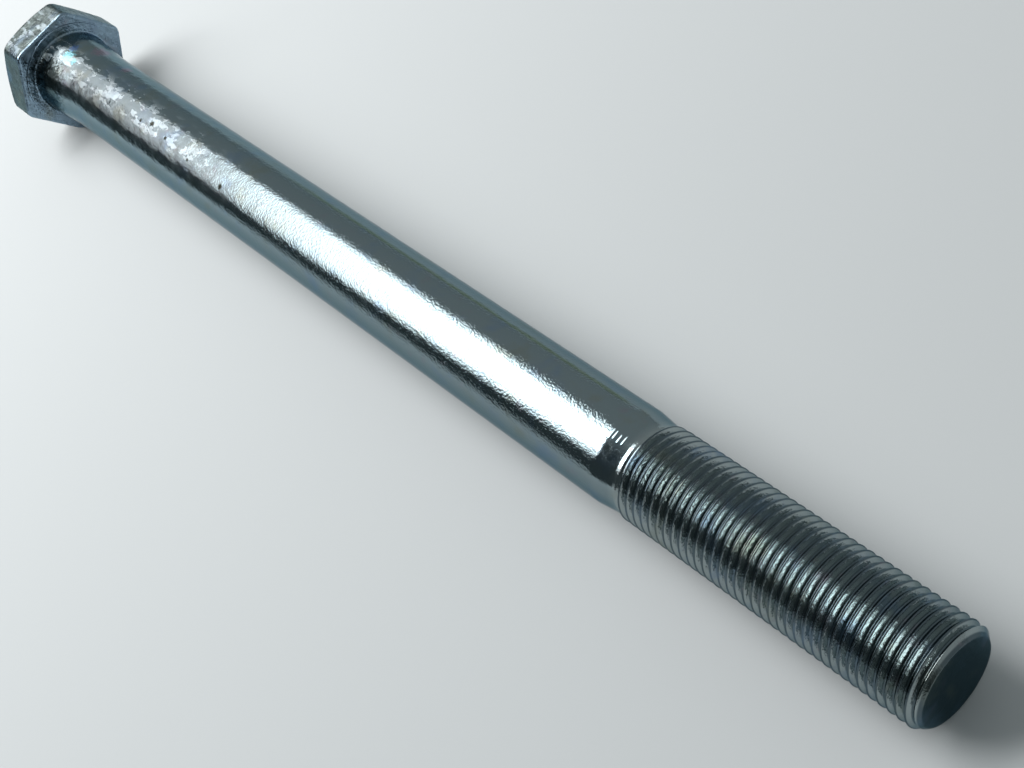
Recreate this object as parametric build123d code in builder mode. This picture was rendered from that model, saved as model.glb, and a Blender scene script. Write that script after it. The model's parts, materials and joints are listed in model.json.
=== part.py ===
from build123d import *

import os
from math import radians, tan

# Long hexagon bolt for a fender bracket: one piece of steel, with a forged head, a plain shank and
# a fine thread rolled on a slightly smaller bar. Sizes are in millimetres.
#
# The bolt's axis is +X, from the head to the tip. The origin is the centre of the bearing face, the
# face under the head that presses on the bracket. One flat of the hexagon faces down, -Z, and the
# bolt lies on that flat and on its tip.

# ---- Head ----
across_flats = 23.6
head_height = 9.0  # bearing face to the top of the head
head_corner_radius = 1.8  # the six upright corners, filled only this far by the forging die
head_edge_radius = 0.6  # the edge between the flats and the underside
top_land_dia = 20.1  # flat circle that the top chamfer leaves
top_chamfer_angle = 30.0  # degrees from the flat top
washer_face_dia = 21.8
washer_face_height = 0.4  # how far the bearing face stands below the hexagon
washer_face_edge_radius = 0.2

# ---- Shank ----
shank_dia = 16.2
flare_dia = 17.44  # the shank swells to this size by the head
flare_level_length = 3.2  # bearing face to where the flare begins to slope down
flare_slope_length = 8.8  # cone from the flare down to the straight shank
flare_edge_radius = 25.0  # softens both ends of that cone
fillet_height = 0.5  # fillet under the head, up the bearing face
fillet_length = 1.8  # the same fillet along the shank
taper_length = 3.9  # cone from the shank down to the neck
neck_dia = 15.2  # the bar that the thread is rolled on
neck_length = 0.6
taper_edge_radius = 6.0  # softens the edge where the shank turns into the cone

# ---- Thread ----
bolt_length = 230.0  # bearing face to tip
thread_length = 53.0  # full thread, with the point
thread_dia = 15.8  # over the crests
run_in_length = 0.9  # the crests rise to full height over this length
point_dia = 13.6  # flat end, just under the thread's root
point_chamfer_angle = 45.0  # degrees from the axis

# ---- Worked-out places along the axis ----
underside_x = -washer_face_height
head_top_x = -head_height
thread_start_x = bolt_length - thread_length
run_in_x = thread_start_x - run_in_length
neck_x = run_in_x - neck_length
shank_end_x = neck_x - taper_length
flare_end_x = flare_level_length + flare_slope_length
point_length = (thread_dia - point_dia) / 2 / tan(radians(point_chamfer_angle))

# ---- Worked-out radii ----
washer_face_r = washer_face_dia / 2
shank_r = shank_dia / 2
flare_r = flare_dia / 2
neck_r = neck_dia / 2
thread_r = thread_dia / 2
point_r = point_dia / 2
top_land_r = top_land_dia / 2
chamfer_reach = across_flats  # well outside the corners, so the cone crosses every one of them
chamfer_drop = (chamfer_reach - top_land_r) * tan(radians(top_chamfer_angle))


with BuildPart() as fender_bolt:
    # The hexagon, from its underside to the top of the head, with its six corners rounded.
    with BuildSketch(Plane.YZ.offset(underside_x)) as hexagon:
        RegularPolygon(across_flats / 2, 6, major_radius=False)
        fillet(hexagon.vertices(), head_corner_radius)
    extrude(amount=underside_x - head_top_x, dir=(-1, 0, 0))

    # The forged edge round the underside.
    fillet(fender_bolt.faces().sort_by(Axis.X)[-1].edges(), head_edge_radius)

    # The top chamfer: only what lies inside a turned cap is kept.
    with BuildSketch(Plane.XY) as cap:
        with BuildLine():
            Polyline(
                (head_top_x, 0),
                (head_top_x, top_land_r),
                (head_top_x + chamfer_drop, chamfer_reach),
                (head_top_x + chamfer_drop + head_height, chamfer_reach),
                (head_top_x + chamfer_drop + head_height, 0),
                close=True,
            )
        make_face()
    revolve(axis=Axis.X, mode=Mode.INTERSECT)

    # Everything round: washer face, shank, cone, neck, run-in, thread over its crests, and point.
    with BuildSketch(Plane.XY) as turned:
        with BuildLine():
            Polyline(
                (underside_x, 0),
                (underside_x, washer_face_r),
                (0, washer_face_r),
                (0, flare_r + fillet_height),
            )
            Bezier((0, flare_r + fillet_height), (0, flare_r), (fillet_length, flare_r))
            Polyline(
                (fillet_length, flare_r),
                (flare_level_length, flare_r),
                (flare_end_x, shank_r),
                (shank_end_x, shank_r),
                (neck_x, neck_r),
                (run_in_x, neck_r),
                (thread_start_x, thread_r),
                (bolt_length - point_length, thread_r),
                (bolt_length, point_r),
                (bolt_length, 0),
                (underside_x, 0),
            )
        make_face()

        def corner(x, r):
            """The profile's corner nearest to the place x, r."""
            return turned.vertices().sort_by_distance((x, r, 0))[0]

        fillet(corner(0, washer_face_r), washer_face_edge_radius)
        fillet(corner(flare_level_length, flare_r), flare_edge_radius)
        fillet(corner(flare_end_x, shank_r), flare_edge_radius)
        fillet(corner(shank_end_x, shank_r), taper_edge_radius)
    revolve(axis=Axis.X)

fender_bolt.part.label = "fender_bolt"

os.makedirs("parts", exist_ok=True)
export_step(fender_bolt.part, "parts/fender_bolt.step")
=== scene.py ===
"""Looks of a long fender bolt: forged hexagon head, plain shank, rolled fine thread, zinc plate.

The bolt is one piece of steel, so it is one closed mesh here. The axis runs along +X from the head
to the tip, and the origin is the centre of the bearing face under the head. Sizes in the classes
are in millimetres; meshes, lamps and the camera are in metres.
"""

from __future__ import annotations

import json
import logging
from dataclasses import dataclass, field
from enum import Enum
from math import atan2, cos, pi, radians, sin, tan
from typing import ClassVar

import bpy
import numpy as np
from bpy.types import Material, NodeSocket, NodeTree, Object
from mathutils import Matrix, Vector


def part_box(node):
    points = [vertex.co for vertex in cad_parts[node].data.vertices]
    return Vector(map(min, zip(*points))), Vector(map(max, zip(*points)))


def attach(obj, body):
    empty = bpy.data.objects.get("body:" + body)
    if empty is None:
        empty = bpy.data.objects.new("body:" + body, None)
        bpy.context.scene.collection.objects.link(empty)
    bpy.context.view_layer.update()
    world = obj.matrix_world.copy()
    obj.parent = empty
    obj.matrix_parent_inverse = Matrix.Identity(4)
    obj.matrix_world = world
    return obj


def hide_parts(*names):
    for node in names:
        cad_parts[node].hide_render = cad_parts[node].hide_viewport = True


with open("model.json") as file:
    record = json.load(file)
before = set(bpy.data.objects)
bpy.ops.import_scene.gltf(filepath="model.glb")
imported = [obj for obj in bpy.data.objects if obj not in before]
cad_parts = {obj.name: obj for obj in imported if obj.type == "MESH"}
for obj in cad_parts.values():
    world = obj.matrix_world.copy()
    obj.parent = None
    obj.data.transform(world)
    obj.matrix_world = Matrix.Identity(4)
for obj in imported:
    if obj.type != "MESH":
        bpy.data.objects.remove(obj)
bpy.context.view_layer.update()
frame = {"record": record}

log = logging.getLogger("fender_bolt")

Place = tuple[float | np.ndarray, float | np.ndarray]  # x and radius, in millimetres

CAD_NODE = "fender_bolt"
BODY = "root"
METRES = 0.001  # metres in one millimetre
SIDES = 6  # sides of the hexagon
SIXTH = 2 * pi / SIDES  # angle from one corner of the hexagon to the next
HOLD = 0.2  # how far past a rounded edge its outer rows lie, as a share of the rounding's size
SAME = 1e-4  # places along the axis that are nearer to each other than this are one


class Hand(Enum):
    """Which way a thread winds, as the sign of its advance along +X per turn from +Y to +Z."""

    RIGHT = 1
    LEFT = -1


class Socket(Enum):
    """Sockets of the Mix node that are known by number only."""

    FACTOR = 0
    COLOUR_A = 6
    COLOUR_B = 7
    COLOUR_OUT = 2


# ---- Colours and nodes ----


def linear(hex_colour: str) -> tuple[float, float, float, float]:
    """Turns an sRGB hex colour into the linear colour that a node socket takes.

    A channel c becomes c / 12.92 near black, and ((c + 0.055) / 1.055) to the power 2.4 above.

    Args:
        hex_colour: Six hex digits, with or without a leading #.

    Returns:
        Linear red, green, blue and an alpha of one.
    """
    digits = hex_colour.lstrip("#")
    channels = np.array([int(digits[i : i + 2], 16) for i in (0, 2, 4)]) / 255
    bright = ((channels + 0.055) / 1.055) ** 2.4
    out = np.where(channels <= 0.04045, channels / 12.92, bright)
    return (*(float(c) for c in out), 1.0)


def add_node(
    tree: NodeTree,
    kind: str,
    sockets: dict[str | int, object] | None = None,
    output: str | int = 0,
    **settings: object,
) -> NodeSocket | None:
    """Adds one node, with its settings, its socket values and its links.

    Args:
        tree: The node tree of a material or of the world.
        kind: The node's type name, without the ShaderNode that it starts with.
        sockets: For each input socket, a value or the output socket that feeds it.
        output: The output socket that is wanted.
        **settings: The node's own properties.

    Returns:
        That output socket, or nothing from a node that has no outputs.
    """
    made = tree.nodes.new("ShaderNode" + kind)
    for name, value in settings.items():
        setattr(made, name, value)
    for socket, value in (sockets or {}).items():
        if isinstance(value, NodeSocket):
            tree.links.new(value, made.inputs[socket])
        else:
            made.inputs[socket].default_value = value
    return made.outputs[output] if made.outputs else None


def bare_material(name: str) -> Material:
    """Makes a material whose node tree is empty.

    Args:
        name: The material's name.

    Returns:
        The material.
    """
    made = bpy.data.materials.new(name)
    made.use_nodes = True
    made.node_tree.nodes.clear()
    return made


def link_object(name: str, data: bpy.types.ID) -> Object:
    """Makes an object and puts it in the scene.

    Args:
        name: The object's name.
        data: Its mesh, lamp or camera.

    Returns:
        The object.
    """
    made = bpy.data.objects.new(name, data)
    bpy.context.scene.collection.objects.link(made)
    return made


# ---- Marks on the surface ----


@dataclass(frozen=True)
class Zones:
    """One value of the finish for each stretch of the bolt, blended where they meet."""

    head: float = 0.0
    near: float = 0.0  # the shank by the head
    far: float = 0.0  # the shank by the thread
    cone: float = 0.0  # the taper between the shank and the thread
    thread: float = 0.0
    span: ClassVar[tuple[float, float]] = (-10.0, 230.0)  # stretch of the axis that they cover

    # Where on the axis each value holds, in millimetres. Between these places they blend.
    head_end: ClassVar[float] = -0.3
    near_ends: ClassVar[tuple[float, float]] = (1.5, 60.0)
    far_ends: ClassVar[tuple[float, float]] = (90.0, 170.8)
    cone_ends: ClassVar[tuple[float, float]] = (171.8, 175.2)
    thread_start: ClassVar[float] = 176.2

    def stops(self) -> list[tuple[float, float]]:
        """Lists the ends of the stretches.

        Returns:
            Places along the axis, in millimetres, with the value at each.
        """
        return [
            (self.head_end, self.head),
            *((place, self.near) for place in self.near_ends),
            *((place, self.far) for place in self.far_ends),
            *((place, self.cone) for place in self.cone_ends),
            (self.thread_start, self.thread),
        ]


@dataclass(frozen=True)
class Spot:
    """A small marked place on the shank, such as a pit. Sizes are in millimetres."""

    x: float
    turn: float  # degrees round the axis, from straight up towards -Y
    size: float
    edge: ClassVar[tuple[float, float]] = (0.6, 1.1)  # radii over which its edge dies out

    def centre(self, radius: float) -> tuple[float, float, float]:
        """Middle of the spot on a shank of the given radius, in metres."""
        y, z = -radius * sin(radians(self.turn)), radius * cos(radians(self.turn))
        return self.x * METRES, y * METRES, z * METRES


@dataclass(frozen=True)
class FilmStainAndPaintedShade:
    """Spots of one colour: some are passivate film, and some are painted shade."""

    colour: str
    amount: float
    spots: tuple[Spot, ...]


@dataclass(frozen=True)
class Cloud:
    """Passivate film of one colour, in clouds that follow a noise."""

    colour: str
    amount: float
    size: float  # of its lumps, in millimetres
    start: float  # value of the noise where the film begins to show
    full: float  # value of the noise where it shows in full
    shift: float = 0.0  # in metres


@dataclass(frozen=True)
class PaintedReflectionLine:
    """A painted reflection: a long line of colour along the shank, standing in for the mirrored
    edge of the floor. Places are in millimetres, turns in degrees.
    """

    colour: str
    amount: float
    turn: float  # from straight up towards -Y
    half_width: float
    start_x: float
    end_x: float
    start_fade: ClassVar[float] = 20.0  # length over which it gathers
    end_fade: ClassVar[float] = 4.0  # and over which it dies out
    side: ClassVar[tuple[float, float]] = (0.6, 1.6)  # half widths over which a side dies out
    wander: ClassVar[float] = 2.0  # size of the lumps that push its sides to and fro


@dataclass(frozen=True)
class RingMark:
    """A fine raised line part of the way round, left by turning. Sizes are in millimetres."""

    x: float
    turn: float  # its middle, in degrees from straight up towards -Y
    reach: float  # degrees from its middle to its ends
    soft: ClassVar[float] = 2.0  # degrees to either side of an end, over which it dies out
    width: ClassVar[float] = 0.26


@dataclass(frozen=True)
class Relief:
    """Bumps that follow a noise, with their own height in each zone. Sizes in millimetres."""

    size: float
    height: Zones
    detail: float = 2.0
    stretch: tuple[float, float, float] = (1.0, 1.0, 1.0)
    shift: float = 0.0  # in metres


@dataclass(frozen=True)
class Edge:
    """One soft edge of a mask, along a measure such as a distance or the value of a noise."""

    measure: NodeSocket
    low: float
    high: float
    levels: tuple[float, float] = (1.0, 0.0)  # at low and at high


RISING = (0.0, 1.0)  # the levels of an edge past which the mask begins


@dataclass(frozen=True)
class Marker:
    """Measures and marks the bolt's surface, in the node tree of its material."""

    tree: NodeTree
    place: NodeSocket  # object coordinates, in metres
    along: NodeSocket  # the coordinate along the bolt's axis, in metres
    angle: NodeSocket  # the angle round it, in radians, from straight up towards +Y
    falloff: ClassVar[float] = 0.55  # what each finer octave of a noise keeps of its height
    ragged_size: ClassVar[float] = 0.5  # lumps that make a spot's edge ragged, in millimetres
    ragged_noise: ClassVar[tuple[float, float]] = (0.3, 0.7)  # values at which they push fully
    ragged_push: ClassVar[float] = 0.35  # how far they push the edge, as a share of its radius

    @classmethod
    def start(cls, tree: NodeTree) -> Marker:
        """Adds the coordinates that every pattern follows.

        Args:
            tree: The material's node tree.

        Returns:
            What draws on the surface.
        """
        place = add_node(tree, "TexCoord", output="Object")
        x, y, z = (add_node(tree, "SeparateXYZ", {0: place}, axis) for axis in "XYZ")
        return cls(tree, place, x, add_node(tree, "Math", {0: y, 1: z}, operation="ARCTAN2"))

    def lumps(
        self,
        size: float,
        detail: float = 2.0,
        stretch: tuple[float, float, float] = (1.0, 1.0, 1.0),
        shift: float = 0.0,
    ) -> NodeSocket:
        """Draws a noise whose lumps are about the given size.

        Args:
            size: Width of one lump, in millimetres.
            detail: Octaves of finer noise on top.
            stretch: How much finer the pattern runs along each axis.
            shift: Moves the pattern, in metres, so that two patterns don't line up.

        Returns:
            The noise value, about 0.5 on average.
        """
        sockets = {"Vector": self.place, "Location": (shift, shift, shift), "Scale": stretch}
        moved = add_node(self.tree, "Mapping", sockets)
        scale = 1.0 / (size * METRES)
        sockets = {"Vector": moved, "Scale": scale, "Detail": detail, "Roughness": self.falloff}
        return add_node(self.tree, "TexNoise", sockets, "Fac")

    def apart(self, value: NodeSocket, middle: float) -> NodeSocket:
        """Measures how far a value is from a middle one, to either side."""
        off = add_node(self.tree, "Math", {0: value, 1: middle}, operation="SUBTRACT")
        return add_node(self.tree, "Math", {0: off}, operation="ABSOLUTE")

    def off_turn(self, turn: float) -> NodeSocket:
        """Measures the angle round the axis, in radians, from a turn in degrees towards -Y."""
        return self.apart(self.angle, -radians(turn))

    def from_axis(self) -> NodeSocket:
        """Measures the distance from the bolt's axis, in metres."""
        yz = add_node(self.tree, "VectorMath", {0: self.place, 1: (0, 1, 1)}, operation="MULTIPLY")
        return add_node(self.tree, "VectorMath", {0: yz}, "Value", operation="LENGTH")

    def mask(self, *patches: tuple[Edge, ...], amount: float | NodeSocket = 1.0) -> NodeSocket:
        """Marks patches of the surface.

        An edge is a smooth step from its level at low to the one at high. A patch is the product
        of its edges, and the mask takes the highest of its patches.

        Args:
            *patches: The edges of each patch.
            amount: What every patch is multiplied by.

        Returns:
            The mask, zero outside the patches.
        """
        highest: object = 0.0
        for edges in patches:
            level: object = amount
            for edge in edges:
                sockets = dict(enumerate((edge.measure, edge.low, edge.high, *edge.levels)))
                step = add_node(self.tree, "MapRange", sockets, interpolation_type="SMOOTHSTEP")
                level = add_node(self.tree, "Math", {0: level, 1: step}, operation="MULTIPLY")
            highest = add_node(self.tree, "Math", {0: highest, 1: level}, operation="MAXIMUM")
        return highest

    def spots(self, spots: tuple[Spot, ...], radius: float, amount: float = 1.0) -> NodeSocket:
        """Marks spots with ragged edges, by the distance from each one's middle in its radii.

        Args:
            spots: The spots.
            radius: Radius of the shank that they lie on, in millimetres.
            amount: How strongly they are marked.

        Returns:
            Their mask.
        """
        ragged = self.lumps(self.ragged_size, shift=0.9)
        reach = (*self.ragged_noise, -self.ragged_push, self.ragged_push)
        sockets = dict(enumerate((ragged, *reach)))
        push = add_node(self.tree, "MapRange", sockets, interpolation_type="SMOOTHSTEP")
        patches = []
        for spot in spots:
            sockets = {0: self.place, 1: spot.centre(radius)}
            away = add_node(self.tree, "VectorMath", sockets, "Value", operation="DISTANCE")
            sockets = {0: away, 1: 2.0 / (spot.size * METRES), 2: push}
            radii = add_node(self.tree, "Math", sockets, operation="MULTIPLY_ADD")
            patches.append((Edge(radii, *spot.edge),))
        return self.mask(*patches, amount=amount)

    def painted_line(self, painted_line: PaintedReflectionLine) -> NodeSocket:
        """Marks a long painted reflection line: near its turn round the axis and between its two
        ends.

        Args:
            painted_line: The painted reflection line.

        Returns:
            Its mask, times its amount.
        """
        half = radians(painted_line.half_width)
        wander, off = self.lumps(painted_line.wander, shift=1.3), self.off_turn(painted_line.turn)
        pushed = add_node(self.tree, "Math", {0: wander, 1: half, 2: off}, operation="MULTIPLY_ADD")
        start, end = painted_line.start_x * METRES, painted_line.end_x * METRES
        edges = (
            Edge(pushed, *(share * half for share in painted_line.side)),
            Edge(self.along, start, start + painted_line.start_fade * METRES, RISING),
            Edge(self.along, end - painted_line.end_fade * METRES, end),
        )
        return self.mask(edges, amount=painted_line.amount)

    def rings(self, marks: tuple[RingMark, ...]) -> NodeSocket:
        """Marks fine lines round part of the shank, each highest in its middle.

        Args:
            marks: The lines.

        Returns:
            Their height, from zero to one.
        """
        patches = []
        for mark in marks:
            inner, outer = radians(mark.reach - mark.soft), radians(mark.reach + mark.soft)
            across = Edge(self.apart(self.along, mark.x * METRES), 0.0, mark.width * METRES)
            patches.append((across, Edge(self.off_turn(mark.turn), inner, outer)))
        return self.mask(*patches)

    def zoned(self, zones: Zones, unit: float = 1.0) -> NodeSocket:
        """Gives a value that changes along the bolt.

        Args:
            zones: The value in each zone.
            unit: What the value is multiplied by.

        Returns:
            The value.
        """
        low, high = zones.span
        sockets = {0: self.along, 1: low * METRES, 2: high * METRES}
        share = add_node(self.tree, "MapRange", sockets)
        ramp = add_node(self.tree, "ValToRGB", {0: share})
        elements, stops = ramp.node.color_ramp.elements, zones.stops()
        while len(elements) < len(stops):
            elements.new(1.0)
        for element, (x, value) in zip(elements, stops):
            element.position = (x - low) / (high - low)
            element.color = (value, value, value, 1.0)
        return add_node(self.tree, "Math", {0: ramp, 1: unit}, operation="MULTIPLY")


# ---- Finishes ----


@dataclass(frozen=True)
class ZincPlate:
    """Bright zinc plate with a thin blue passivate, on cold-forged and rolled steel.

    It gives the eye a hard blue-white glint with a grainy edge, grey-green steel beside it, and
    faint blue, green and pink clouds where the passivate is thicker. The forged head is rougher
    and waves a little. Sizes are in millimetres.
    """

    slot: str = "zinc_plated_steel"
    plate: str = "7f8d91"
    head_plate: str = "677170"  # duller, over the forging's scale
    flank_plate: str = "9aa4a5"  # the plate stays bright on the thread's flanks
    dull_plate: str = "59656a"  # and is dull on its crests and down in its roots
    crest_edge: tuple[float, float] = (7.7, 7.82)  # radii over which the crests' dullness begins
    root_edge: tuple[float, float] = (7.1, 7.3)  # radii over which the roots' dullness ends
    clouds: tuple[Cloud, ...] = (
        Cloud("71859a", 0.6, 6.0, start=0.52, full=0.75),  # thick film
        Cloud("7f857a", 0.5, 6.0, start=0.46, full=0.28),  # thin film
        Cloud("88808a", 0.4, 3.0, start=0.58, full=0.78, shift=0.7),
    )
    cloud_detail: float = 3.0
    blue_film_and_painted_reflection: str = "859db0"  # blue passivate under the head, where the bath drained last, made lighter as a painted reflection of the bright floor mirrored there
    blue_film_and_reflection_amount: float = 0.8
    under_head_x: float = -0.2  # middle of the underside and the washer face
    under_head_reach: tuple[float, float] = (0.5, 0.9)  # distance from there over which it dies out
    film_stains_and_painted_shade: tuple[FilmStainAndPaintedShade, ...] = (
        FilmStainAndPaintedShade("84c6d2", 0.7, (Spot(7.0, -4.0, 3.4), Spot(9.5, -1.0, 1.6))),
        FilmStainAndPaintedShade("6d8cc4", 0.7, (Spot(6.0, -18.0, 2.4),)),
        FilmStainAndPaintedShade("a28a98", 0.6, (Spot(11.0, -43.0, 4.0), Spot(22.0, -40.0, 2.5))),
        # painted shade: dark spots on the shank's root under the head, where the head's shade falls
        FilmStainAndPaintedShade("333b3c", 0.8, (Spot(3.5, 24.0, 4.0), Spot(5.5, 32.0, 4.5))),
        # painted shade: dark spots on the lower side of the shank by the head, where the head's
        # shade falls
        FilmStainAndPaintedShade(
            "2f3836", 0.75, (Spot(4.5, 50.0, 11.0), Spot(4.5, 70.0, 11.0), Spot(4.0, 92.0, 10.0))
        ),
    )
    # painted reflection: an olive line along the shank's upper side, where the edge of the floor is
    # mirrored
    painted_horizon_line: PaintedReflectionLine = PaintedReflectionLine("6f7d66", 0.75, -39.5, 4.0, 74.0, 171.0)
    edge_tint: str = "afbfc6"  # colour of the reflection at a glancing angle
    gloss: Zones = Zones(head=0.29, near=0.15, far=0.09, cone=0.10, thread=0.14)  # roughness
    mottle: float = 0.3  # how far the roughness wanders, as a share of itself
    mottle_size: float = 1.6
    mottle_detail: float = 4.0
    mottle_edge: tuple[float, float] = (0.35, 0.65)  # values of the noise that it wanders over
    frost_and_painted_glint: str = "9fabb0"  # pale colour of the coarser crystals' patches, partly a painted glint: it lies on the upper side by the head, where the highlight falls
    frost_and_glint_amount: float = 0.85
    frost_rough: float = 0.14  # what it adds to the roughness
    frost_size: float = 1.4
    frost_detail: float = 6.0
    frost_stretch: tuple[float, float, float] = (0.45, 1.0, 1.0)  # longer along the axis
    frost_edge: tuple[float, float] = (0.51, 0.55)  # where the noise turns to frost
    frost_end: tuple[float, float] = (52.0, 72.0)  # x over which the frost dies out
    frost_turn: float = 3.0  # middle of the upper side that it lies on, where the highlight falls, in degrees
    frost_reach: tuple[float, float] = (17.0, 30.0)  # degrees over which it dies out
    waves: Relief = Relief(  # hollows left by drawing and forging, longer along the axis
        size=2.0,
        height=Zones(head=0.24, near=0.10, far=0.035, cone=0.03, thread=0.02),
        stretch=(0.6, 1.0, 1.0),
        shift=0.1,
    )
    scrapes: Relief = Relief(  # the die's scrapes, along the edges of the hexagon
        size=0.5, height=Zones(head=0.03), stretch=(1.0, 0.12, 0.12), shift=1.7
    )
    grain: Relief = Relief(  # coarser than the real plating crystals, so that it shows
        size=0.4,
        height=Zones(head=0.06, near=0.022, far=0.060, cone=0.012, thread=0.045),
        shift=0.5,
    )
    lines: Relief = Relief(  # turned lines round the shank
        size=0.16,
        height=Zones(far=0.0012, cone=0.0012, thread=0.003),
        detail=1.0,
        stretch=(1.0, 0.0, 0.0),
    )
    marks: tuple[RingMark, ...] = (
        RingMark(171.9, 0.0, 7.0),
        RingMark(172.5, -2.0, 8.0),
        RingMark(173.4, 2.0, 5.0),
        RingMark(174.2, -1.0, 7.0),
        RingMark(169.6, -9.0, 6.0),
    )
    mark_height: float = 0.045
    pits: tuple[Spot, ...] = (
        Spot(43.0, 9.0, 1.3),
        Spot(39.5, 14.0, 0.7),
        Spot(49.0, 15.2, 0.8),
        Spot(58.0, 22.3, 0.6),
        Spot(70.0, 27.0, 1.2),
        Spot(34.5, -10.4, 0.6),
        Spot(30.0, -10.4, 0.5),
    )
    pit_colour: str = "3c3e38"
    pit_depth: float = 0.05
    spot_radius: float = 8.1  # of the shank that the spots lie on

    def material(self) -> Material:
        """Builds the plate's material.

        Returns:
            A metallic material whose patterns follow the bolt's own coordinates.
        """
        made = bare_material(self.slot)
        marker = Marker.start(made.node_tree)
        pitted = marker.spots(self.pits, self.spot_radius)
        frost_and_glint = self.frost_and_glint(marker)
        sockets = {
            "Base Color": self.colour(marker, frost_and_glint, pitted),
            "Roughness": self.roughness(marker, frost_and_glint),
            "Normal": self.relief(marker, pitted),
            "Metallic": 1.0,
            "Specular Tint": linear(self.edge_tint),
        }
        surface = add_node(made.node_tree, "BsdfPrincipled", sockets)
        add_node(made.node_tree, "OutputMaterial", {"Surface": surface})
        return made

    def frost_and_glint(self, marker: Marker) -> NodeSocket:
        """Marks patches of frost, on the upper side of the head and of the shank near it, where the
        highlight falls. Their roughness is the frost's own; their pale colour is partly a painted
        glint.

        Args:
            marker: What draws on the surface.

        Returns:
            The mask of the patches.
        """
        lumps = marker.lumps(self.frost_size, self.frost_detail, self.frost_stretch, shift=2.1)
        end = (x * METRES for x in self.frost_end)
        reach = (radians(turn) for turn in self.frost_reach)
        edges = (
            Edge(lumps, *self.frost_edge, RISING),
            Edge(marker.along, *end),
            Edge(marker.off_turn(self.frost_turn), *reach),
        )
        return marker.mask(edges)

    def colour(self, marker: Marker, frost_and_glint: NodeSocket, pitted: NodeSocket) -> NodeSocket:
        """Lays coats of colour over the plate's own grey, from the lowest up, each by its mask.

        Args:
            marker: What draws on the surface.
            frost_and_glint: The mask of the frost, whose pale colour is partly a painted glint.
            pitted: The mask of the pits.

        Returns:
            The plate's colour.
        """
        threaded, radius = marker.zoned(Zones(thread=1.0)), marker.from_axis()
        crest = Edge(radius, *(edge * METRES for edge in self.crest_edge), RISING)
        root = Edge(radius, *(edge * METRES for edge in self.root_edge))
        # blue film under the head, lightened as a painted reflection of the floor
        off = marker.apart(marker.along, self.under_head_x * METRES)
        under_head_edge = Edge(off, *(reach * METRES for reach in self.under_head_reach))
        sockets = {0: frost_and_glint, 1: self.frost_and_glint_amount}
        coats = [
            (self.head_plate, marker.zoned(Zones(head=1.0))),
            (self.flank_plate, threaded),
            (self.dull_plate, marker.mask((crest,), (root,), amount=threaded)),
            # painted glint: pale frost patches on the upper side by the head, where the highlight
            # falls
            (self.frost_and_painted_glint, add_node(marker.tree, "Math", sockets, operation="MULTIPLY")),
            (self.blue_film_and_painted_reflection, marker.mask((under_head_edge,), amount=self.blue_film_and_reflection_amount)),
        ]
        for cloud in self.clouds:
            noise = marker.lumps(cloud.size, self.cloud_detail, shift=cloud.shift)
            edge = Edge(noise, cloud.start, cloud.full, RISING)
            coats.append((cloud.colour, marker.mask((edge,), amount=cloud.amount)))
        # painted reflection: the olive line of the floor's mirrored edge along the shank
        coats.append((self.painted_horizon_line.colour, marker.painted_line(self.painted_horizon_line)))
        # passivate film stains, and the painted shade on the shank by the head
        for stain_and_shade in self.film_stains_and_painted_shade:
            mask = marker.spots(stain_and_shade.spots, self.spot_radius, stain_and_shade.amount)
            coats.append((stain_and_shade.colour, mask))
        coats.append((self.pit_colour, pitted))

        colour: object = linear(self.plate)
        for hex_colour, mask in coats:
            sockets = {
                Socket.FACTOR.value: mask,
                Socket.COLOUR_A.value: colour,
                Socket.COLOUR_B.value: linear(hex_colour),
            }
            out = Socket.COLOUR_OUT.value
            colour = add_node(marker.tree, "Mix", sockets, out, data_type="RGBA")
        return colour

    def roughness(self, marker: Marker, frost_and_glint: NodeSocket) -> NodeSocket:
        """Mottles the plate's roughness round its value in each zone, and adds the frost's.

        Args:
            marker: What draws on the surface.
            frost_and_glint: The mask of the frost.

        Returns:
            The roughness.
        """
        tree = marker.tree
        mottled = marker.lumps(self.mottle_size, self.mottle_detail, shift=0.3)
        reach = (*self.mottle_edge, 1 - self.mottle, 1 + self.mottle)
        sockets = dict(enumerate((mottled, *reach)))
        share = add_node(tree, "MapRange", sockets, interpolation_type="SMOOTHSTEP")
        added = add_node(tree, "Math", {0: frost_and_glint, 1: self.frost_rough}, operation="MULTIPLY")
        sockets = {0: marker.zoned(self.gloss), 1: share, 2: added}
        return add_node(tree, "Math", sockets, operation="MULTIPLY_ADD")

    def relief(self, marker: Marker, pitted: NodeSocket) -> NodeSocket:
        """Stacks the pits, ring marks, waves, scrapes, grain and turned lines as bumps.

        Args:
            marker: What draws on the surface.
            pitted: The mask of the pits.

        Returns:
            The bumped normal.
        """
        sockets = {"Height": pitted, "Distance": self.pit_depth * METRES}
        normal = add_node(marker.tree, "Bump", sockets, invert=True)
        bumps = [(marker.rings(self.marks), self.mark_height * METRES)]
        for relief in (self.waves, self.scrapes, self.grain, self.lines):
            noise = marker.lumps(relief.size, relief.detail, relief.stretch, relief.shift)
            bumps.append((noise, marker.zoned(relief.height, METRES)))
        for height, distance in bumps:
            sockets = {"Height": height, "Distance": distance, "Normal": normal}
            normal = add_node(marker.tree, "Bump", sockets)
        return normal


@dataclass(frozen=True)
class PaperFloor:
    """Matt pale background paper, with no gloss of its own."""

    paper: str = "cfd3d4"
    roughness: float = 0.9

    def material(self) -> Material:
        """Builds the paper's material.

        Returns:
            A matt material of one colour all over.
        """
        made = bare_material("background_paper")
        sockets = {
            "Base Color": linear(self.paper),
            "Roughness": self.roughness,
            "Specular IOR Level": 0.0,
        }
        surface = add_node(made.node_tree, "BsdfPrincipled", sockets)
        add_node(made.node_tree, "OutputMaterial", {"Surface": surface})
        return made


# ---- Rows of points round the axis ----


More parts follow.
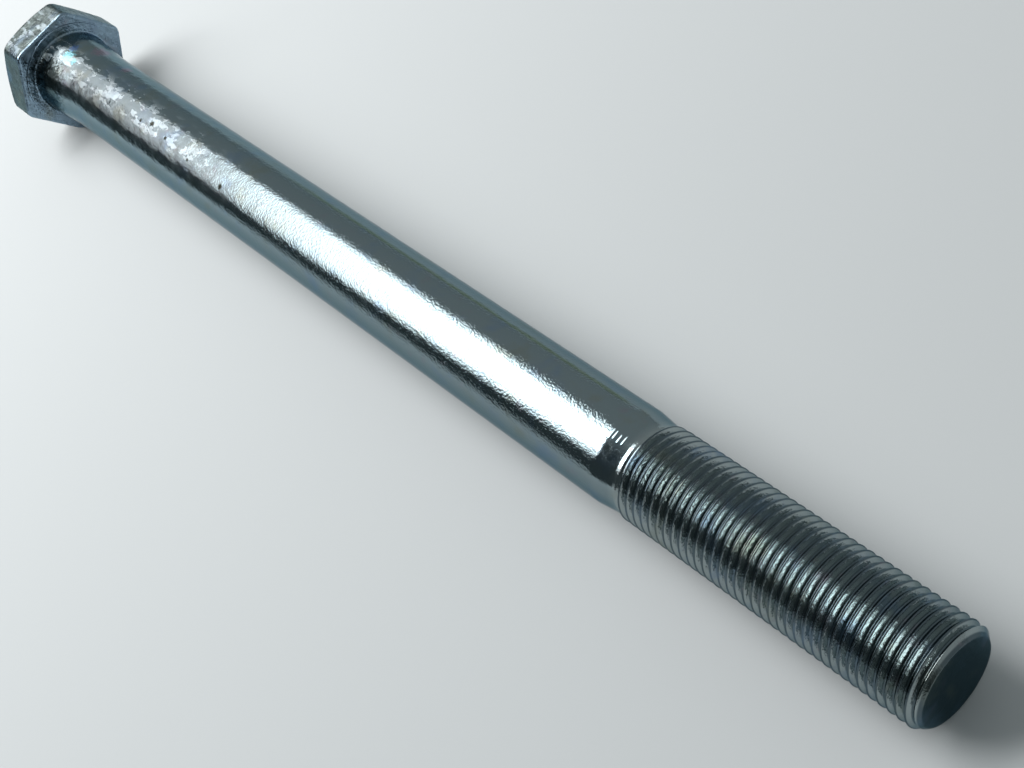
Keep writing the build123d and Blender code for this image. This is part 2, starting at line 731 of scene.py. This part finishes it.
@dataclass(frozen=True)
class Columns:
    """The angles round the axis at which every row of the mesh has a point.

    Each sixth of a turn has a fan of narrow columns over the hexagon's rounded corner and wider
    ones over the flat, so that the corner stays round with few points.
    """

    corner_half_angle: float  # radians, from a corner's middle to the end of its rounding
    corner_steps: int = 6
    flat_steps: int = 12

    @property
    def angles(self) -> np.ndarray:
        """Works out the angles.

        Returns:
            One angle for each column, in radians, rising from the corner on +Y towards +Z.
        """
        half = self.corner_half_angle
        corner = np.linspace(-half, half, self.corner_steps + 1)
        flat = np.linspace(half, SIXTH - half, self.flat_steps + 1)[1:-1]
        turns = np.arange(SIDES)[:, None] * SIXTH
        return (turns + np.concatenate([corner, flat])).ravel() + half

    def row(self, x: float | np.ndarray, radius: float | np.ndarray) -> np.ndarray:
        """Makes one row of points: a line of x and a line of radius, with all the columns."""
        ones = np.ones(len(self.angles))
        return np.stack([x * ones, radius * ones])

    def rounded(self, start: Place, corner: Place, end: Place, steps: int = 4) -> list[np.ndarray]:
        """Rounds an edge between two faces, column by column.

        A point is (1 - t)^2 start + 2 t (1 - t) corner + t^2 end. One more row lies just outside
        each end of the curve, on the face itself, and keeps the faces' shading flat up to the
        edge.

        Args:
            start: Where the rounding begins, on the first face.
            corner: Where the two faces would meet.
            end: Where the rounding ends, on the second face.
            steps: How many strips the rounding has.

        Returns:
            The rows, from the first face to the second.
        """
        start, corner, end = (self.row(*place) for place in (start, corner, end))
        t = np.linspace(0, 1, steps + 1)[:, None, None]
        curve = (1 - t) ** 2 * start + 2 * t * (1 - t) * corner + t**2 * end
        return [start + HOLD * (start - corner), *curve, end + HOLD * (end - corner)]


# ---- Sub-assemblies ----


@dataclass(frozen=True)
class Head:
    """The forged hexagon head: top land, chamfer, six flats, underside and washer face."""

    across_flats: float
    across_corners: float  # over the rounded corners
    height: float  # from the bearing face to the top
    top_land_radius: float = 10.05
    chamfer_angle: float = 30.0  # degrees from the flat top
    land_edge: float = 0.35
    chamfer_edge: float = 0.3
    underside_edge: float = 0.6
    washer_face_radius: float = 10.9
    washer_face_height: float = 0.4
    washer_face_edge: float = 0.18
    washer_face_root: float = 0.08
    flat_rows: int = 8
    flat_end: float = 1.4  # where the flats' last row stands, in sizes of the underside's edge
    land_shares: tuple[float, ...] = (0.25, 0.5, 0.75)  # where the top land has rows

    @property
    def corner_radius(self) -> float:
        """Radius of the upright corners, from the widths over the flats and over the corners."""
        reach = 1 / cos(SIXTH / 2)
        return (self.across_flats * reach - self.across_corners) / 2 / (reach - 1)

    @property
    def corner_half_angle(self) -> float:
        """Works out where the upright corners end.

        Returns:
            The angle at the axis from a corner's middle to the end of its rounding.
        """
        centre = (self.across_flats / 2 - self.corner_radius) / cos(SIXTH / 2)
        across = self.corner_radius * sin(SIXTH / 2)
        return atan2(across, centre + self.corner_radius * cos(SIXTH / 2))

    def outline(self, angles: np.ndarray, inset: float = 0.0) -> np.ndarray:
        """Works out the hexagon's radius at each angle.

        On a flat it is the apothem over the cosine of the angle from the flat's middle. On a
        corner it is where the ray leaves the rounding's circle, c cos d + sqrt(r^2 - c^2 sin^2 d).

        Args:
            angles: Angles from +Y, where a corner is, in radians.
            inset: How far the outline lies inside the hexagon, in millimetres.

        Returns:
            The radius at each angle.
        """
        off_corner = np.abs((angles + SIXTH / 2) % SIXTH - SIXTH / 2)
        apothem = self.across_flats / 2 - inset
        rounding = self.corner_radius - inset
        centre = (apothem - rounding) / cos(SIXTH / 2)
        inside = np.clip(rounding**2 - (centre * np.sin(off_corner)) ** 2, 0, None)
        on_corner = centre * np.cos(off_corner) + np.sqrt(inside)
        on_flat = apothem / np.cos(SIXTH / 2 - off_corner)
        return np.where(off_corner <= self.corner_half_angle, on_corner, on_flat)

    def chamfer_x(self, radius: float | np.ndarray) -> float | np.ndarray:
        """Place along the axis of the chamfer's cone at a radius."""
        return -self.height + (radius - self.top_land_radius) * tan(radians(self.chamfer_angle))

    def rows(self, columns: Columns) -> list[np.ndarray]:
        """Builds the head's rows, from just outside the middle of its top to the bearing face."""
        full = self.outline(columns.angles)
        return [*self.top(columns), *self.sides(columns, full), *self.underside(columns, full)]

    def top(self, columns: Columns) -> list[np.ndarray]:
        """Builds the round top land and the edge where the chamfer begins.

        Args:
            columns: The mesh's columns.

        Returns:
            The rows, from near the axis outwards.
        """
        top, land = -self.height, self.top_land_radius
        inner, outer = land - self.land_edge, land + self.land_edge
        edge = columns.rounded((top, inner), (top, land), (self.chamfer_x(outer), outer))
        return [*(columns.row(top, share * inner) for share in self.land_shares), *edge]

    def sides(self, columns: Columns, full: np.ndarray) -> list[np.ndarray]:
        """Builds the arched edges of the chamfer and the six flats with their corners.

        Args:
            columns: The mesh's columns.
            full: The hexagon's radius at each column.

        Returns:
            The rows, from the chamfer to the underside's edge.
        """
        rim_x, inner = self.chamfer_x(full), full - self.chamfer_edge
        arch = columns.rounded(
            (self.chamfer_x(inner), inner), (rim_x, full), (rim_x + self.chamfer_edge, full)
        )
        first = arch[-1][0]
        last = -self.washer_face_height - self.flat_end * self.underside_edge
        shares = np.linspace(0, 1, self.flat_rows + 2)[1:-1]
        return [*arch, *(columns.row(first + share * (last - first), full) for share in shares)]

    def underside(self, columns: Columns, full: np.ndarray) -> list[np.ndarray]:
        """Builds the hexagon's lower edge, its underside, and the raised washer face.

        Args:
            columns: The mesh's columns.
            full: The hexagon's radius at each column.

        Returns:
            The rows, from the flats to the bearing face.
        """
        ledge = -self.washer_face_height
        inset = self.outline(columns.angles, self.underside_edge)
        lower = columns.rounded((ledge - self.underside_edge, full), (ledge, full), (ledge, inset))
        ring, root, edge = self.washer_face_radius, self.washer_face_root, self.washer_face_edge
        step_root = columns.rounded(
            (ledge, ring + root), (ledge, ring), (ledge + root, ring), steps=3
        )
        step_edge = columns.rounded((-edge, ring), (0, ring), (0, ring - edge))
        return [*lower, *step_root[1:-1], *step_edge]


@dataclass(frozen=True)
class Shank:
    """The plain shank, which swells towards the head and tapers to the neck by the thread."""

    radius: float
    end_x: float  # where the taper begins
    neck_x: float  # where the thread begins
    neck_radius: float = 7.6
    flare: float = 0.62  # what the swelling adds by the head
    flare_start: float = 3.2
    flare_end: float = 12.0
    flare_edge: float = 0.9  # half the length over which its two ends are softened
    fillet_height: float = 0.5  # fillet under the head, up the bearing face
    fillet_length: float = 1.8  # the same fillet along the shank
    shoulder_edge: float = 0.45  # half the length of the softened edge before the taper
    cone_rows: int = 6
    plain_rows: int = 24
    plain_end: float = 1.0  # how far before the taper the plain rows stop
    taper_rows: int = 4
    taper_ends: tuple[float, float] = (0.3, 0.1)  # where its last rows stand before the neck

    def swollen(self, x: float) -> float:
        """Radius at a place by the head: level, then down a cone to the straight shank."""
        share = (x - self.flare_start) / (self.flare_end - self.flare_start)
        return self.radius + self.flare * min(1.0, max(0.0, 1 - share))

    def tapered(self, x: float) -> float:
        """Radius of the taper's cone at a place along the axis."""
        share = (x - self.end_x) / (self.neck_x - self.end_x)
        return self.radius + share * (self.neck_radius - self.radius)

    def rows(self, columns: Columns) -> list[np.ndarray]:
        """Builds the rows from the bearing face to the end of the taper.

        Args:
            columns: The mesh's columns.

        Returns:
            The rows.
        """
        foot, edge = self.swollen(0.0), self.flare_edge
        fillet = columns.rounded(
            (0.0, foot + self.fillet_height), (0.0, foot), (self.fillet_length, foot), steps=8
        )
        start, end = (
            columns.rounded(*((x, self.swollen(x)) for x in (at - edge, at, at + edge)), steps=6)
            for at in (self.flare_start, self.flare_end)
        )
        places = np.linspace(self.flare_start + edge, self.flare_end - edge, self.cone_rows)
        cone = [columns.row(x, self.swollen(x)) for x in places[1:-1]]
        places = np.linspace(self.flare_end + edge, self.end_x - self.plain_end, self.plain_rows)
        plain = [columns.row(x, self.radius) for x in places[2:]]
        near, far = self.end_x - self.shoulder_edge, self.end_x + self.shoulder_edge
        shoulder = columns.rounded(
            (near, self.radius), (self.end_x, self.radius), (far, self.tapered(far)), steps=6
        )
        before_last, last = (self.neck_x - gap for gap in self.taper_ends)
        places = [*np.linspace(far, before_last, self.taper_rows)[1:], last]
        taper = [columns.row(x, self.tapered(x)) for x in places]
        return [*fillet, *start[1:], *cone, *end, *plain, *shoulder, *taper]


@dataclass(frozen=True)
class Thread:
    """The rolled fine thread: run-in, full turns with narrow crests, and the point."""

    start_x: float  # where the crests begin to rise from the neck
    full_x: float  # where they reach full height
    tip_x: float
    neck_radius: float
    crest_radius: float
    pitch: float = 1.5
    depth: float = 0.9
    flank_angle: float = 30.0  # degrees from a plane square to the axis
    crest_half: float = 0.07  # half the width of the flat crest
    crest_ease: float = 0.03  # how far the crest's edges are rounded
    root_ease: float = 0.22  # how far the root is rounded
    level: float = 0.6  # plain neck before the crests begin to rise
    lead: float = 1.1  # where the crest's middle stands past the neck at +Y
    point_radius: float = 6.8
    hand: Hand = Hand.RIGHT
    turns_before: int = 2  # turns of the grid before the neck
    turns_past: int = 3  # turns of the grid past the tip
    # Where the mesh has rows across half a turn, in millimetres from the crest's middle.
    stations: tuple[float, ...] = (0.0, 0.04, 0.07, 0.1, 0.14, 0.24, 0.36, 0.46, 0.56, 0.65, 0.75)

    def phases(self) -> np.ndarray:
        """Places of the rows in one turn, in millimetres from the crest, rising."""
        half = np.array(self.stations)
        return np.concatenate([-half[-2:0:-1], half])

    def cut(self, off_crest: np.ndarray) -> np.ndarray:
        """Works out how deep the thread is cut below its crest.

        The flank is (w - crest half) / tan(flank angle). It is eased into the crest and into the
        root by sqrt curves.

        Args:
            off_crest: Distance w along the axis from the nearest crest's middle.

        Returns:
            The depth below the full crest radius.
        """
        flank = (off_crest - self.crest_half) / tan(radians(self.flank_angle))
        below_crest = (flank + np.sqrt(flank**2 + self.crest_ease**2)) / 2
        left = self.depth - below_crest
        above_root = (left + np.sqrt(left**2 + self.root_ease**2)) / 2
        return self.depth - above_root

    def surface(self, angles: np.ndarray) -> tuple[np.ndarray, np.ndarray]:
        """Lays a grid of points whose rows run along the helix.

        Row i, column j lies at x = start + lead + pitch (turn_i + hand angle_j / full turn) +
        phase_i. The radius is the crest radius less the cut. Between the neck and the first full
        turn it is drawn towards the neck's radius by a smooth step. At the tip a 45 degree cone
        holds it.

        Args:
            angles: The mesh's columns.

        Returns:
            Arrays of x and of radius, with rows along the helix and one entry for each column.
        """
        phases = self.phases()
        turns = int(np.ceil((self.tip_x - self.start_x) / self.pitch)) + self.turns_past
        along = np.arange(-self.turns_before, turns)[:, None] * self.pitch + phases[None, :]
        wound = self.hand.value * self.pitch * angles / (2 * pi)
        x = self.start_x + self.lead + along.ravel()[:, None] + wound[None, :]
        off_crest = np.abs(np.tile(phases, len(along)))[:, None]
        full = self.crest_radius - self.cut(off_crest)
        rise_x = self.start_x + self.level
        rise = np.clip((x - rise_x) / (self.full_x - rise_x), 0, 1)
        rise = rise**2 * (3 - 2 * rise)
        radius = self.neck_radius + rise * (full - self.neck_radius)
        cone = self.point_radius + self.tip_x - x
        return x, np.minimum(radius, cone)


# ---- The whole bolt ----


@dataclass
class Bolt:
    """The bolt as one closed surface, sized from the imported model's box and mounts."""

    head: Head
    shank: Shank
    thread: Thread
    finish: ZincPlate = field(default_factory=ZincPlate)
    tip_shares: ClassVar[tuple[float, ...]] = (1.0, 0.96, 0.7, 0.35)  # where the tip has rows
    taper: ClassVar[float] = 3.9  # length of the cone from the shank to the neck
    run_in: ClassVar[float] = 1.5  # length of the neck and of the crests' rise to full height

    @classmethod
    def from_frame(cls, record: dict) -> Bolt:
        """Reads the bolt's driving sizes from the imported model.

        Args:
            record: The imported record, with the mounts.

        Returns:
            The bolt, not yet built.
        """
        low, high = (np.array(corner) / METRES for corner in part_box(CAD_NODE))
        mounts = {mount["name"]: mount for mount in record["mounts"]}
        plain, wound = mounts["shank"], mounts["thread"]
        full_x = float(np.floor(wound["pos_m"][0] / METRES - wound["dims"]["length_mm"] / 2))
        neck_x = full_x - cls.run_in
        head = Head(
            across_flats=float(high[2] - low[2]),
            across_corners=float(high[1] - low[1]),
            height=float(-low[0]),
        )
        shank = Shank(radius=plain["dims"]["r_mm"], end_x=neck_x - cls.taper, neck_x=neck_x)
        thread = Thread(
            start_x=neck_x,
            full_x=full_x,
            tip_x=float(high[0]),
            neck_radius=shank.neck_radius,
            crest_radius=wound["dims"]["r_mm"],
        )
        return cls(head, shank, thread)

    def build(self) -> Object:
        """Makes the mesh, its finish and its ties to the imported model.

        Returns:
            The finished piece.
        """
        points, triangles = self.closed_surface(Columns(self.head.corner_half_angle))
        mesh = bpy.data.meshes.new("bolt")
        mesh.vertices.add(len(points))
        mesh.vertices.foreach_set("co", (points * METRES).astype(np.float32).ravel())
        mesh.loops.add(triangles.size)
        mesh.loops.foreach_set("vertex_index", triangles.astype(np.int32).ravel())
        mesh.polygons.add(len(triangles))
        mesh.polygons.foreach_set("loop_start", np.arange(0, triangles.size, 3, dtype=np.int32))
        mesh.update(calc_edges=True)
        mesh.validate()
        mesh.shade_smooth()
        mesh.materials.append(self.finish.material())
        piece = link_object("zinc_plated_bolt", mesh)
        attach(piece, BODY)
        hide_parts(CAD_NODE)
        log.info("%s: %d points, %d triangles", piece.name, len(points), len(triangles))
        return piece

    def closed_surface(self, columns: Columns) -> tuple[np.ndarray, np.ndarray]:
        """Joins the rings, the helical thread and the tip into one closed surface.

        Thread points outside the thread's own length share the points of the ring at that end,
        and triangles that this leaves with two equal corners are dropped.

        Args:
            columns: The mesh's columns.

        Returns:
            The points, and the triangles as numbers of points, facing outwards.
        """
        thread, angles = self.thread, columns.angles
        n = len(angles)
        neck = columns.row(thread.start_x, thread.neck_radius)
        before = np.stack([*self.head.rows(columns), *self.shank.rows(columns), neck], axis=1)
        radii = [share * thread.point_radius for share in self.tip_shares]
        after = np.stack([columns.row(thread.tip_x, radius) for radius in radii], axis=1)
        x, radius = thread.surface(angles)
        poles = np.array([[-self.head.height, 0.0, 0.0], [thread.tip_x, 0.0, 0.0]])
        surfaces = [self.places(*grid, angles) for grid in (before, (x, radius), after)]
        points = np.concatenate([*surfaces, poles])

        first_strip = before[0].size
        first_after = first_strip + x.size
        head_pole = first_after + after[0].size
        neck_ids = first_strip - n + np.arange(n)
        end_ids = first_after + np.arange(n)
        strip_ids = first_strip + np.arange(x.size).reshape(x.shape)
        strip_ids = np.where(x <= thread.start_x + SAME, neck_ids, strip_ids)
        strip_ids = np.where(x >= thread.tip_x - SAME, end_ids, strip_ids)

        # One turn further on, the first column carries on where the last one stops.
        turn_rows = len(thread.phases())
        carried = np.full(len(x), end_ids[0])
        carried[:-turn_rows] = strip_ids[turn_rows:, 0]
        before_ids = self.wrapped(np.arange(first_strip).reshape(-1, n))
        after_ids = self.wrapped(np.arange(first_after, head_pole).reshape(-1, n))
        triangles = np.concatenate(
            [
                self.fan(head_pole, before_ids[0])[:, ::-1],
                self.strips(before_ids),
                self.strips(np.column_stack([strip_ids, carried])),
                self.strips(after_ids),
                self.fan(head_pole + 1, after_ids[-1]),
            ]
        )
        a, b, c = triangles.T
        triangles = triangles[(a != b) & (b != c) & (c != a)]
        used, numbered = np.unique(triangles, return_inverse=True)
        return points[used], numbered.reshape(-1, 3)

    @staticmethod
    def wrapped(ids: np.ndarray) -> np.ndarray:
        """Repeats the first column after the last, so that a ring closes on itself."""
        return np.column_stack([ids, ids[:, 0]])

    @staticmethod
    def places(x: np.ndarray, radius: np.ndarray, angles: np.ndarray) -> np.ndarray:
        """Points (x, radius cos angle, radius sin angle), one line for each."""
        y, z = radius * np.cos(angles), radius * np.sin(angles)
        return np.stack([x, y, z], axis=-1).reshape(-1, 3)

    @staticmethod
    def strips(ids: np.ndarray) -> np.ndarray:
        """Cuts each cell of a grid into two triangles, facing away from the axis.

        Args:
            ids: The numbers of the grid's points.

        Returns:
            The triangles.
        """
        a, b = ids[:-1, :-1].ravel(), ids[1:, :-1].ravel()
        c, d = ids[1:, 1:].ravel(), ids[:-1, 1:].ravel()
        return np.concatenate([np.stack([a, d, c], axis=1), np.stack([a, c, b], axis=1)])

    @staticmethod
    def fan(pole: int, ring: np.ndarray) -> np.ndarray:
        """Triangles from a point on the axis to each stretch of a ring, facing +X."""
        return np.stack([np.full(len(ring) - 1, pole), ring[:-1], ring[1:]], axis=1)


# ---- Studio ----


@dataclass(frozen=True)
class Softbox:
    """One flat panel of the arch of soft lamps over the bolt. It faces the bolt's axis."""

    name: str
    turn: tuple[float, float]  # degrees round the axis, from straight up towards -Y
    span: tuple[float, float]  # its two ends along the axis, in metres
    radiance: float
    tint: str = "ffffff"
    reach: float = 0.62  # metres from the axis

    def hang(self) -> Object:
        """Hangs the lamp. Its power is radiance times pi times its area.

        Returns:
            The lamp.
        """
        start, end = (radians(angle) for angle in self.turn)
        middle = (start + end) / 2
        length = self.span[1] - self.span[0]
        width = 2 * self.reach * tan((end - start) / 2)
        lamp = bpy.data.lights.new(self.name, "AREA")
        lamp.shape = "RECTANGLE"
        lamp.size, lamp.size_y = length, width
        lamp.energy = self.radiance * pi * length * width
        lamp.color = linear(self.tint)[:3]
        made = link_object(self.name, lamp)
        made.location = (
            (self.span[0] + self.span[1]) / 2,
            -self.reach * sin(middle),
            self.reach * cos(middle),
        )
        made.rotation_euler = (middle, 0.0, 0.0)
        made.visible_camera = False
        return made


@dataclass(frozen=True)
class Camera:
    """A camera given by its place, its heading and its roll."""

    place: tuple[float, float, float] = (0.2980, -0.0391, 0.1909)
    azimuth: float = 76.01  # degrees; 0 looks along +Y and 90 along -X
    elevation: float = 50.6  # degrees that it looks down
    roll: float = 37.23  # degrees; positive leans its top to the right
    focal_length: float = 55.37
    sensor_width: ClassVar[float] = 36.0
    near_limit: ClassVar[float] = 0.005  # what is nearer than this, in metres, isn't seen

    def set_up(self) -> Object:
        """Makes the camera the scene's own.

        Returns:
            The camera.
        """
        across, down, lean = radians(self.azimuth), radians(self.elevation), radians(self.roll)
        forward = Vector((-sin(across) * cos(down), cos(across) * cos(down), -sin(down)))
        level_right = Vector((cos(across), sin(across), 0.0))
        level_up = level_right.cross(forward)
        right = level_right * cos(lean) - level_up * sin(lean)
        up = level_right * sin(lean) + level_up * cos(lean)
        turned = Matrix((right, up, -forward)).transposed().to_4x4()
        lens = bpy.data.cameras.new("camera")
        lens.sensor_width = self.sensor_width
        lens.lens = self.focal_length
        lens.clip_start = self.near_limit
        made = link_object("camera", lens)
        made.matrix_world = Matrix.Translation(Vector(self.place)) @ turned
        bpy.context.scene.camera = made
        return made


@dataclass(frozen=True)
class Studio:
    """A pale floor under the bolt, soft overhead light and a dim room round it."""

    floor_half_width: float = 3.0
    floor_finish: PaperFloor = field(default_factory=PaperFloor)
    lamps: tuple[Softbox, ...] = (
        Softbox("main_softbox_1", (-21, -14), (-0.60, -0.38), 6.5),
        Softbox("main_softbox_2", (-14, -4), (-0.60, -0.31), 6.5),
        Softbox("main_softbox_3", (-4, 12), (-0.605, -0.26), 6.5),
        Softbox("main_softbox_4", (12, 32), (-0.60, -0.26), 6.5),
        Softbox("main_softbox_5", (32, 42), (-0.57, -0.26), 6.5),
        Softbox("main_softbox_6", (42, 50), (-0.55, -0.32), 6.5),
        Softbox("main_softbox_7", (50, 58), (-0.51, -0.37), 6.5),
        Softbox("end_softbox_1", (-14, -4), (-0.24, -0.13), 5.0),
        Softbox("end_softbox_2", (42, 54), (-0.26, -0.14), 2.5),
        Softbox("end_softbox_3", (-4, 12), (-0.26, -0.13), 9.5),
        Softbox("end_softbox_4", (12, 32), (-0.26, -0.11), 9.5),
        Softbox("end_softbox_5", (32, 42), (-0.26, -0.11), 9.5),
        Softbox("far_softbox_1", (-24, -4), (-1.30, -0.62), 1.4, "fff0ee"),
        Softbox("far_softbox_2", (-4, 12), (-1.30, -0.625), 1.7, "fff0ee"),
        Softbox("far_softbox_3", (12, 30), (-0.92, -0.62), 2.0, "fff0ee"),
        Softbox("far_softbox_4", (30, 44), (-0.92, -0.60), 1.8, "fff0ee"),
        Softbox("far_softbox_5", (44, 57), (-0.92, -0.60), 1.2, "fff0ee"),
    )
    room_side: str = "a2a8a9"  # the side of the room towards +Y
    room_dark: str = "4a5254"  # the side towards -Y
    room_edge: tuple[float, float] = (-0.35, 0.1)  # Y of the headings between which they blend

    def lay_floor(self, head: Head, thread: Thread) -> Object:
        """Lays the floor so that it touches the head's lower flat and the thread near the tip.

        The head is wider than the thread, so the floor slopes up a degree towards the tip.

        Args:
            head: The head, which rests on the edge of one flat.
            thread: The thread, which rests on the crest nearest the tip.

        Returns:
            The floor.
        """
        heel = np.array([-head.washer_face_height, -head.across_flats / 2])
        point_length = thread.crest_radius - thread.point_radius
        toe = np.array([thread.tip_x - point_length, -thread.crest_radius])
        slope = (toe[1] - heel[1]) / (toe[0] - heel[0])
        reach = self.floor_half_width
        x = np.array([-reach, reach, reach, -reach])
        y = np.array([-reach, -reach, reach, reach])
        z = heel[1] * METRES + slope * (x - heel[0] * METRES)
        mesh = bpy.data.meshes.new("floor")
        mesh.from_pydata(np.stack([x, y, z], axis=1).tolist(), [], [(0, 1, 2, 3)])
        mesh.materials.append(self.floor_finish.material())
        floor = link_object("floor", mesh)
        return floor

    def light_room(self) -> None:
        """Hangs the lamps and tints the room: lighter on the +Y side, dark on the -Y side."""
        for lamp in self.lamps:
            lamp.hang()
        world = bpy.data.worlds.new("room")
        world.use_nodes = True
        tree = world.node_tree
        tree.nodes.clear()
        heading = add_node(tree, "TexCoord", output="Generated")
        sideways = add_node(tree, "SeparateXYZ", {0: heading}, "Y")
        sockets = dict(enumerate((sideways, *self.room_edge)))
        share = add_node(tree, "MapRange", sockets, interpolation_type="SMOOTHSTEP")
        sockets = {
            Socket.FACTOR.value: share,
            Socket.COLOUR_A.value: linear(self.room_dark),
            Socket.COLOUR_B.value: linear(self.room_side),
        }
        colour = add_node(tree, "Mix", sockets, Socket.COLOUR_OUT.value, data_type="RGBA")
        sky = add_node(tree, "Background", {"Color": colour, "Strength": 1.0})
        add_node(tree, "OutputWorld", {"Surface": sky})
        bpy.context.scene.world = world


def main() -> None:
    """Builds the bolt, the studio and the camera, and reports each."""
    logging.basicConfig(level=logging.INFO, format="%(name)s: %(message)s")
    bpy.context.scene.view_settings.view_transform = "Standard"
    bolt = Bolt.from_frame(frame["record"])
    bolt.build()
    studio = Studio()
    floor = studio.lay_floor(bolt.head, bolt.thread)
    studio.light_room()
    camera = Camera().set_up()
    log.info("stage: %s, %s", floor.name, camera.name)


if __name__ == "__main__":
    main()
